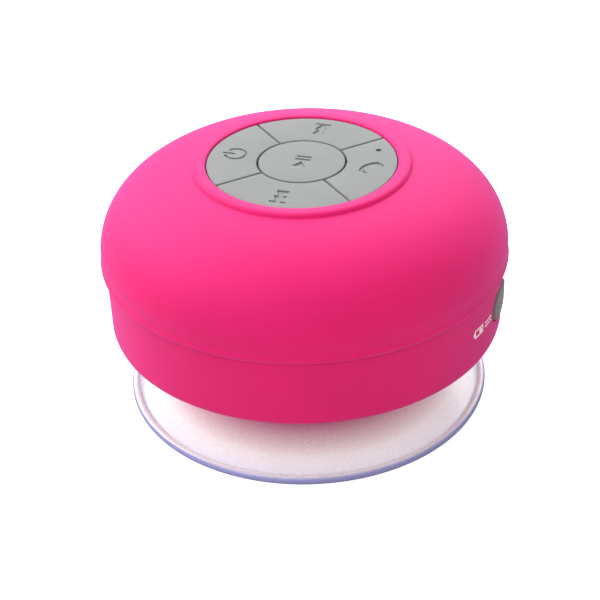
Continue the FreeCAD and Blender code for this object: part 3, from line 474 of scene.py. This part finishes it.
bmesh.ops.rotate(parting_line, verts=parting_line.verts, cent=(0, 0, 0),
                 matrix=Matrix.Rotation(PARTING_TURN, 3, "Z"))
base_skin = make_piece("base_band", turn_outline(base_outline, closed=True), "housing", pink_silicone)
WINDOW_GAP = 0.6
MOUTH_GAP = 0.45
carve(base_skin, [
    parting_line,
    round_bar(port_width + WINDOW_GAP, port_height + WINDOW_GAP, port_level, 36, 46),
    round_bar(port_width + MOUTH_GAP, port_height + MOUTH_GAP, port_level,
              base_radius - 0.9, base_radius + 0.4, 0.06)])
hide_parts("base_skin")

# Printed marks. Thin white ink on the base band beside the port: a solid line over
# three dashes for direct current, and a small battery.
ink, ink_tree, ink_shader, ink_place = new_finish("white_ink", 0.6)
ink_tone = ramp(ink_tree, noise_field(ink_tree, ink_place, 2500, 2.0), [
    (0.3, (0.82, 0.80, 0.81)), (0.6, (0.95, 0.94, 0.94))])
ink_tree.links.new(ink_tone, ink_shader.inputs["Base Color"])
INK_THICK = 0.05
INK_SUNK = 0.02
MARK_START = math.radians(-9.6)
MARK_LEVEL = 26.2
marks = bmesh.new()


def ink_bar(near, far, low, high):
    """Curved bar of ink between two distances along the band and two heights, in millimetres."""
    start = MARK_START - near / base_radius
    sweep_angle = -(far - near) / base_radius
    levels = [MARK_LEVEL + low, MARK_LEVEL + high]
    corners = [(base_radius - INK_SUNK, levels[0]), (base_radius + INK_THICK, levels[0]),
               (base_radius + INK_THICK, levels[1]), (base_radius - INK_SUNK, levels[1])]
    verts = [marks.verts.new((radius * MM, 0, level * MM)) for radius, level in corners]
    face = marks.faces.new(verts)
    bmesh.ops.rotate(marks, verts=verts, cent=(0, 0, 0), matrix=Matrix.Rotation(start, 3, "Z"))
    bmesh.ops.spin(marks, geom=[face], axis=(0, 0, 1), cent=(0, 0, 0), dvec=(0, 0, 0),
                   angle=sweep_angle, steps=4, use_merge=False, use_duplicate=False)


STROKE = 0.25
LINE_LENGTH = 3.2
LINE_RISE = 0.34
DASH_LENGTH = 0.9
DASH_PITCH = 1.15
ink_bar(0.0, LINE_LENGTH, LINE_RISE, LINE_RISE + STROKE)
for dash in range(3):
    ink_bar(dash * DASH_PITCH, dash * DASH_PITCH + DASH_LENGTH, -LINE_RISE - STROKE, -LINE_RISE)
BATTERY_NEAR = 4.3
BATTERY_FAR = 7.7
BATTERY_HALF = 0.95
for low in (-BATTERY_HALF, BATTERY_HALF - STROKE):
    ink_bar(BATTERY_NEAR, BATTERY_FAR, low, low + STROKE)
for near in (BATTERY_NEAR, BATTERY_FAR - STROKE):
    ink_bar(near, near + STROKE, -BATTERY_HALF + STROKE + 0.01, BATTERY_HALF - STROKE - 0.01)
ink_bar(BATTERY_FAR + 0.02, BATTERY_FAR + 0.36, -0.4, 0.4)
ink_bar(BATTERY_NEAR + 0.6, BATTERY_NEAR + 1.5, -0.4, 0.4)
printed_marks = make_piece("printed_marks", marks, "housing", ink)

# Top skin. The silicone dome: its lip closes over the seam, and a soft raised ring
# frames the keypad. It is stretched over the upper shell.
ring_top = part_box("top_skin")[1].z / MM
mat_low, mat_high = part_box("keypad_mat")
plate_top = mat_low.z / MM
DOME_RADIUS = 43.4
WAIST = 33.0
CROWN_RISE = 0.8
DOME_POWER = 2.58
RING_FOOT = 23.1
RING_GAP = 0.2
crown = ring_top + CROWN_RISE - WAIST
ring_inner = mat_high.x / MM + RING_GAP


def dome_point(inset, angle):
    """Point of the dome's superellipse, moved inwards, at an angle in degrees."""
    across = math.cos(math.radians(angle)) ** (2 / DOME_POWER)
    up = math.sin(math.radians(angle)) ** (2 / DOME_POWER)
    return ((DOME_RADIUS - inset) * across, WAIST + (crown - inset) * up)


LIP_START = 7.0
LIP_GAP = 0.04
lip_foot = seam + LIP_GAP
dome_outline = []
rounded(dome_outline, (inner_radius + 0.1, lip_foot + 0.1),
        ((base_radius - 1.0, lip_foot), (DOME_RADIUS - 0.95, lip_foot), 2),
        ((DOME_RADIUS - 0.5, lip_foot), (DOME_RADIUS - 0.26, lip_foot + 0.36), 8),
        ((DOME_RADIUS + 0.04, lip_foot + 0.75), (DOME_RADIUS + 0.02, lip_foot + 1.05), 5),
        ((DOME_RADIUS, lip_foot + 1.35), (DOME_RADIUS - 0.18, lip_foot + 1.75), 6),
        ((DOME_RADIUS - 0.26, lip_foot + 2.1), dome_point(0, LIP_START), 6))
DOME_STEPS = 56
ring_angle = math.degrees(math.acos((RING_FOOT / DOME_RADIUS) ** (DOME_POWER / 2)))
for index in range(1, DOME_STEPS + 1):
    dome_outline.append(dome_point(0, LIP_START + (ring_angle - LIP_START) * index / DOME_STEPS))
foot_radius, foot_level = dome_outline[-1]
rounded(dome_outline, (foot_radius - 0.06, foot_level + 0.02),
        ((foot_radius - 0.16, foot_level + 0.05), (foot_radius - 0.22, foot_level + 0.22), 4),
        ((foot_radius - 0.42, ring_top - 0.14), (foot_radius - 1.15, ring_top - 0.05), 10),
        ((foot_radius - 1.7, ring_top + 0.03), (ring_inner + 0.5, ring_top - 0.06), 6),
        ((ring_inner + 0.04, ring_top - 0.12), (ring_inner, ring_top - 0.45), 6),
        ((ring_inner, 53), (ring_inner, plate_top + 0.05), 2),
        ((22, plate_top + 0.05), (23.5, plate_top + 0.05), 1))
LINING_STEPS = 9
LINING_START = ring_angle - 6
LINING_END = 1
for index in range(LINING_STEPS + 1):
    dome_outline.append(dome_point(
        SKIN_WALL, LINING_START - (LINING_START - LINING_END) * index / LINING_STEPS))
top_skin = make_piece("dome_skin", turn_outline(dome_outline, closed=True), "housing", pink_silicone)
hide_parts("top_skin")

# Keys. Light grey silicone caps with softened edges, one round and four in sectors,
# each with an engraved symbol; the reading direction runs from the power key to the call key.
key_grey = soft_touch("grey_silicone", (0.204, 0.211, 0.212), 0.3, (1.0, 1.0, 1.0))
play_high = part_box("play_key")[1]
key_top = play_high.z / MM
play_radius = play_high.x / MM
call_low, call_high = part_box("call_key")
pad_radius = call_high.x / MM
key_foot = call_low.z / MM
CAP_THICK = 0.9
HALF_GAP = 0.2
EDGE_SOFTNESS = 0.22
NUB_RADIUS = 1.6
NUB_REACH = 14.7
NUB_OVERLAP = 0.1
ENGRAVING = 0.34
MOUTH_DEPTH = 0.09
MOUTH_SPREAD = 0.07


def arc_corners(radius, start, end, steps):
    """Points of an arc about the centre, between two angles."""
    return [(radius * math.cos(start + (end - start) * index / steps),
             radius * math.sin(start + (end - start) * index / steps)) for index in range(steps + 1)]


def cap_blank(corners):
    """Bmesh of a flat cap with these corners, its top edge rounded over."""
    bm = bmesh.new()
    top = bm.faces.new([bm.verts.new((across * MM, along * MM, key_top * MM)) for across, along in corners])
    grown = bmesh.ops.extrude_face_region(bm, geom=[top])["geom"]
    low_verts = [item for item in grown if isinstance(item, bmesh.types.BMVert)]
    bmesh.ops.translate(bm, verts=low_verts, vec=(0, 0, -CAP_THICK * MM))
    rim = [edge for edge in bm.edges if all(vert.co.z > (key_top - 0.01) * MM for vert in edge.verts)]
    bmesh.ops.bevel(bm, geom=rim, offset=EDGE_SOFTNESS * MM, affect="EDGES",
                    segments=4, profile=0.5, material=-1)
    return bm


def grown_shape(shape, distance):
    """Corners of a shape, each moved outwards along the bisector of its two edges."""
    area = sum(a[0] * b[1] - b[0] * a[1] for a, b in zip(shape, shape[1:] + shape[:1]))
    side = 1 if area > 0 else -1
    moved = []
    for before, corner, after in zip(shape[-1:] + shape[:-1], shape, shape[1:] + shape[:1]):
        arriving = (Vector(corner) - Vector(before)).normalized()
        leaving = (Vector(after) - Vector(corner)).normalized()
        outward = Vector((arriving.y + leaving.y, -arriving.x - leaving.x)) * side
        share = max(0.35, 1 + arriving.dot(leaving))
        moved.append(tuple(Vector(corner) + outward * distance / share))
    return moved


def engraver(shape):
    """Bmesh that cuts a shape into a key: straight walls with a slightly softened mouth."""
    bm = bmesh.new()
    layers = [(-ENGRAVING, 0.0), (-MOUTH_DEPTH, 0.0), (0.0, MOUTH_SPREAD), (0.5, MOUTH_SPREAD)]
    rings = []
    for rise, spread in layers:
        corners = grown_shape(shape, spread)
        rings.append([bm.verts.new((a * MM, b * MM, (key_top + rise) * MM)) for a, b in corners])
    bm.faces.new(rings[0])
    bm.faces.new(rings[-1])
    for lower, upper in zip(rings, rings[1:]):
        for index in range(len(lower)):
            after = (index + 1) % len(lower)
            bm.faces.new((lower[index], lower[after], upper[after], upper[index]))
    bmesh.ops.recalc_face_normals(bm, faces=bm.faces)
    return bm


def bar_shape(start, end, width):
    """Corners of a straight bar between two points."""
    along = (Vector(end) - Vector(start)).normalized()
    aside = Vector((-along.y, along.x)) * width / 2
    return [tuple(Vector(start) - aside), tuple(Vector(end) - aside),
            tuple(Vector(end) + aside), tuple(Vector(start) + aside)]


def pointer(tip, back, half_width):
    """Triangle that points along Y, from its base line to its tip; the centre line is given by tip."""
    across, tip_along = tip
    return [(across - half_width, back), (across + half_width, back), (across, tip_along)]


def key_piece(name, corners, shapes, nub_place, extra=()):
    """Finished key: cap with its engraved shapes, and the nub under it that presses the stem."""
    piece = make_piece(f"{name}_cap", cap_blank(corners), f"{name}_key_body", key_grey)
    carve(piece, [engraver(shape) for shape in shapes] + list(extra))
    nub_top = key_top - CAP_THICK + NUB_OVERLAP
    whole = bmesh.new()
    whole.from_mesh(piece.data)
    bmesh.ops.create_cone(
        whole, cap_ends=True, segments=24, radius1=NUB_RADIUS * MM, radius2=NUB_RADIUS * MM,
        depth=(nub_top - key_foot) * MM,
        matrix=Matrix.Translation((nub_place[0] * MM, nub_place[1] * MM, (nub_top + key_foot) / 2 * MM)))
    whole.to_mesh(piece.data)
    whole.free()
    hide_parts(f"{name}_key")


def sector_corners(turn):
    """Corners of a sector key, half a groove inside its two diagonals, turned to its place."""
    inner = play_radius + 2 * HALF_GAP
    inner_half = math.pi / 4 - math.asin(HALF_GAP / inner)
    outer_half = math.pi / 4 - math.asin(HALF_GAP / pad_radius)
    corners = arc_corners(pad_radius, turn - outer_half, turn + outer_half, 40)
    return corners + arc_corners(inner, turn + inner_half, turn - inner_half, 28)


PLAY_SIDES = 128
PAUSE_HALF = 1.6
PAUSE_STROKE = 0.56
pause_bars = [bar_shape((-PAUSE_HALF, along), (PAUSE_HALF, along), PAUSE_STROKE) for along in (1.97, 0.77)]
play_corners = arc_corners(play_radius, 0, FULL_TURN * (PLAY_SIDES - 1) / PLAY_SIDES, PLAY_SIDES - 1)
key_piece("play", play_corners, [*pause_bars, pointer((0, -0.2), -2.35, 1.45)], (0, 0))


def skip_symbol(reach):
    """Two overlapping triangles that point outwards to a bar, reading out along Y from a distance."""
    return [pointer((0, reach + 3.4), reach, 1.35),
            [(-1.35, reach + 2.15), (1.35, reach + 2.15), (0.37, reach + 4.6), (-0.37, reach + 4.6)],
            bar_shape((-1.65, reach + 4.6), (1.65, reach + 4.6), 0.5)]


key_piece("next", sector_corners(math.pi / 2), skip_symbol(12.6), (0, NUB_REACH))
key_piece("previous", sector_corners(-math.pi / 2),
          [[(-a, -b) for a, b in shape] for shape in skip_symbol(12.95)], (0, -NUB_REACH))

POWER_REACH = 14.4
POWER_RING = 2.45
POWER_STROKE = 0.52
RING_START = math.radians(-155)
RING_END = math.radians(145)
power_ring = arc_corners(POWER_RING, RING_START, RING_END, 40)
power_ring += arc_corners(POWER_RING - POWER_STROKE, RING_END, RING_START, 40)
key_piece("power", sector_corners(math.pi), [
    [(a - POWER_REACH, b) for a, b in power_ring],
    bar_shape((-POWER_REACH - 2.75, 0), (-POWER_REACH - 0.2, 0), POWER_STROKE)], (-NUB_REACH, 0))

HANDSET_CURVE = 4.2
HANDSET_HALF = 2.7
HANDSET_THICK = 0.8
EAR_DEPTH = 1.9
arc_half = math.asin(HANDSET_HALF / HANDSET_CURVE)
inner_curve = HANDSET_CURVE - HANDSET_THICK
inner_half = math.asin((HANDSET_HALF - HANDSET_THICK) / inner_curve)
ear_level = HANDSET_CURVE * math.cos(arc_half) - EAR_DEPTH
handset = [(b, a) for a, b in arc_corners(HANDSET_CURVE, -arc_half, arc_half, 20)]
handset += [(HANDSET_HALF, ear_level), (HANDSET_HALF - HANDSET_THICK, ear_level)]
handset += [(b, a) for a, b in arc_corners(inner_curve, inner_half, -inner_half, 16)]
handset += [(HANDSET_THICK - HANDSET_HALF, ear_level), (-HANDSET_HALF, ear_level)]
handset_place = (Matrix.Translation((14.0, 0.9, 0)) @ Matrix.Rotation(math.radians(55), 4, "Z")
                 @ Matrix.Translation((0, -HANDSET_CURVE * math.cos(arc_half), 0)))
turned_handset = [tuple((handset_place @ Vector((a, b, 0))).xy) for a, b in handset]
MIC_REACH = 16.6
MIC_TURN = math.radians(30)
MIC_RADIUS = 0.6
mic_place = (MIC_REACH * math.cos(MIC_TURN) * MM, MIC_REACH * math.sin(MIC_TURN) * MM, key_top * MM)
mic_way = bmesh.new()
bmesh.ops.create_cone(mic_way, cap_ends=True, segments=32, radius1=MIC_RADIUS * MM, radius2=MIC_RADIUS * MM,
                      depth=6 * MM, matrix=Matrix.Translation(mic_place))
key_piece("call", sector_corners(0), [turned_handset], (NUB_REACH, 0), [mic_way])

# Port cover. A grey rubber flap with softened edges that follows the band's curve,
# with a tongue behind it that plugs the port.
cover_grey = soft_touch("cover_rubber", (0.19, 0.18, 0.18), 0.3, (1.0, 1.0, 1.0))
COVER_THICK = 1.75
COVER_SOFTNESS = 0.4
CURVE_CUTS = 14
TONGUE_SHORTER = 3.2
TONGUE_HEIGHT = 2.6
cover_face = cover_high.x / MM
cover_bm = round_bar(port_width, port_height, port_level, cover_face - COVER_THICK, cover_face)
edge_loop = [edge for edge in cover_bm.edges
             if all(vert.co.x > (cover_face - 0.01) * MM for vert in edge.verts)]
bmesh.ops.bevel(cover_bm, geom=edge_loop, offset=COVER_SOFTNESS * MM, affect="EDGES",
                segments=4, profile=0.5, material=-1)
for index in range(1, CURVE_CUTS):
    across = (index / CURVE_CUTS - 0.5) * port_width * MM
    bmesh.ops.bisect_plane(cover_bm, geom=cover_bm.verts[:] + cover_bm.edges[:] + cover_bm.faces[:],
                           plane_co=(0, across, 0), plane_no=(0, 1, 0))
for vert in cover_bm.verts:
    vert.co.x -= cover_face * MM - math.sqrt((cover_face * MM) ** 2 - vert.co.y ** 2)
tongue = round_bar(port_width - TONGUE_SHORTER, TONGUE_HEIGHT, port_level,
                   cover_low.x / MM, cover_face - 1.6)
tongue_mesh = bpy.data.meshes.new("tongue")
tongue.to_mesh(tongue_mesh)
tongue.free()
cover_bm.from_mesh(tongue_mesh)
bpy.data.meshes.remove(tongue_mesh)
port_cover = make_piece("port_flap", cover_bm, "cover", cover_grey)
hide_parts("port_cover")


# Hard parts inside. The shells, driver, boards and fasteners keep their own shapes
# and take a finish for what each is made of.
def dress(finish, *names):
    """Give CAD pieces a material."""
    for name in names:
        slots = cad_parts[name].data.materials
        slots.clear()
        slots.append(finish)


def moulded(name, colour, roughness, grain=900, relief=0.03):
    """Moulded or pressed surface: a little colour variation and a fine texture."""
    finish, tree, shader, place = new_finish(name, roughness)
    field = noise_field(tree, place, 120, 3.0)
    tone = ramp(tree, field, [(0.3, scaled(colour, 0.88)), (0.7, scaled(colour, 1.1))])
    tree.links.new(tone, shader.inputs["Base Color"])
    add_bump(tree, shader, noise_field(tree, place, grain, 3.0), relief * MM, 0.4)
    return finish


def bright_metal(name, colour, roughness, stretch):
    """Plated or rolled metal with drawn streaks."""
    finish, tree, shader, place = new_finish(name, roughness)
    shader.inputs["Metallic"].default_value = 1.0
    streaks = noise_field(tree, place, 700, 4.0, stretch)
    tone = ramp(tree, streaks, [(0.3, scaled(colour, 0.8)), (0.7, scaled(colour, 1.1))])
    tree.links.new(tone, shader.inputs["Base Color"])
    add_bump(tree, shader, streaks, 0.01 * MM, 0.4)
    return finish


def woven(name, colour, threads):
    """Cloth of two crossing sets of threads."""
    finish, tree, shader, place = new_finish(name, 0.85)
    waves = []
    for direction in ("X", "Y"):
        wave = tree.nodes.new("ShaderNodeTexWave")
        wave.bands_direction = direction
        wave.inputs["Scale"].default_value = threads
        tree.links.new(place, wave.inputs["Vector"])
        waves.append(wave.outputs["Fac"])
    weave = tree.nodes.new("ShaderNodeMath")
    weave.operation = "MULTIPLY"
    for wave, socket in zip(waves, weave.inputs):
        tree.links.new(wave, socket)
    tone = ramp(tree, weave.outputs["Value"], [(0.0, scaled(colour, 0.4)), (0.8, colour)])
    tree.links.new(tone, shader.inputs["Base Color"])
    add_bump(tree, shader, weave.outputs["Value"], 0.08 * MM, 0.8)
    return finish


dress(moulded("shell_black", (0.035, 0.035, 0.04), 0.55), "lower_shell", "upper_shell")
dress(moulded("mat_grey", (0.12, 0.122, 0.122), 0.6), "keypad_mat")
dress(moulded("anchor_grey", (0.19, 0.18, 0.18), 0.6), "port_cover_anchor")
dress(moulded("seal_black", (0.02, 0.02, 0.02), 0.7), "shell_seal", "driver_gasket", "microphone_boot",
      "cone_surround")
dress(moulded("pad_foam", (0.03, 0.03, 0.03), 0.95, 600, 0.2), "battery_pads")
dress(moulded("washer_white", (0.75, 0.75, 0.72), 0.4), "swivel_washer")
dress(moulded("stud_black", (0.03, 0.03, 0.033), 0.3), "cup_stud")
dress(moulded("chip_black", (0.02, 0.02, 0.022), 0.5), "radio_chip", "amplifier_chip", "switch_bodies",
      "socket_tongue")
dress(moulded("stem_nylon", (0.62, 0.6, 0.52), 0.4), "play_stem", "power_stem", "next_stem",
      "previous_stem", "call_stem")
dress(moulded("cone_film", (0.03, 0.03, 0.034), 0.35, 300, 0.05), "speaker_cone", "dust_cap")
dress(moulded("ferrite", (0.05, 0.05, 0.053), 0.65, 1500, 0.05), "driver_magnet")
dress(moulded("lead_red", (0.5, 0.02, 0.02), 0.35), "speaker_leads", "battery_leads", "charging_leads")
dress(bright_metal("screw_zinc", (0.6, 0.6, 0.62), 0.35, (1, 1, 8)), "shell_screws", "board_screws",
      "charge_board_screws", "retaining_clip")
dress(bright_metal("socket_tin", (0.72, 0.72, 0.74), 0.3, (6, 1, 1)), "charging_socket", "microphone")
dress(bright_metal("pressed_steel", (0.5, 0.5, 0.52), 0.4, (1, 6, 1)), "driver_basket", "magnet_plate",
      "driver_yoke")
dress(bright_metal("pouch_foil", (0.72, 0.73, 0.75), 0.45, (1, 1, 1)), "battery_cell")
dress(bright_metal("coil_copper", (0.72, 0.33, 0.16), 0.35, (1, 1, 40)), "voice_coil")
dress(woven("spider_cloth", (0.55, 0.36, 0.14), 900), "cone_spider")
dress(woven("mesh_cloth", (0.05, 0.05, 0.055), 1300), "speaker_mesh")

# Circuit boards. Green lacquered laminate with copper tracks just under the lacquer.
laminate, laminate_tree, laminate_shader, laminate_place = new_finish("board_green", 0.3)
tracks = laminate_tree.nodes.new("ShaderNodeTexBrick")
tracks.inputs["Scale"].default_value = 260
tracks.inputs["Mortar Size"].default_value = 0.09
tracks.inputs["Color1"].default_value = (0.012, 0.11, 0.04, 1)
tracks.inputs["Color2"].default_value = (0.015, 0.13, 0.05, 1)
tracks.inputs["Mortar"].default_value = (0.03, 0.22, 0.08, 1)
laminate_tree.links.new(laminate_place, tracks.inputs["Vector"])
laminate_tree.links.new(tracks.outputs["Color"], laminate_shader.inputs["Base Color"])
add_bump(laminate_tree, laminate_shader, tracks.outputs["Fac"], 0.03 * MM, 0.5)
dress(laminate, "main_board", "charge_board")
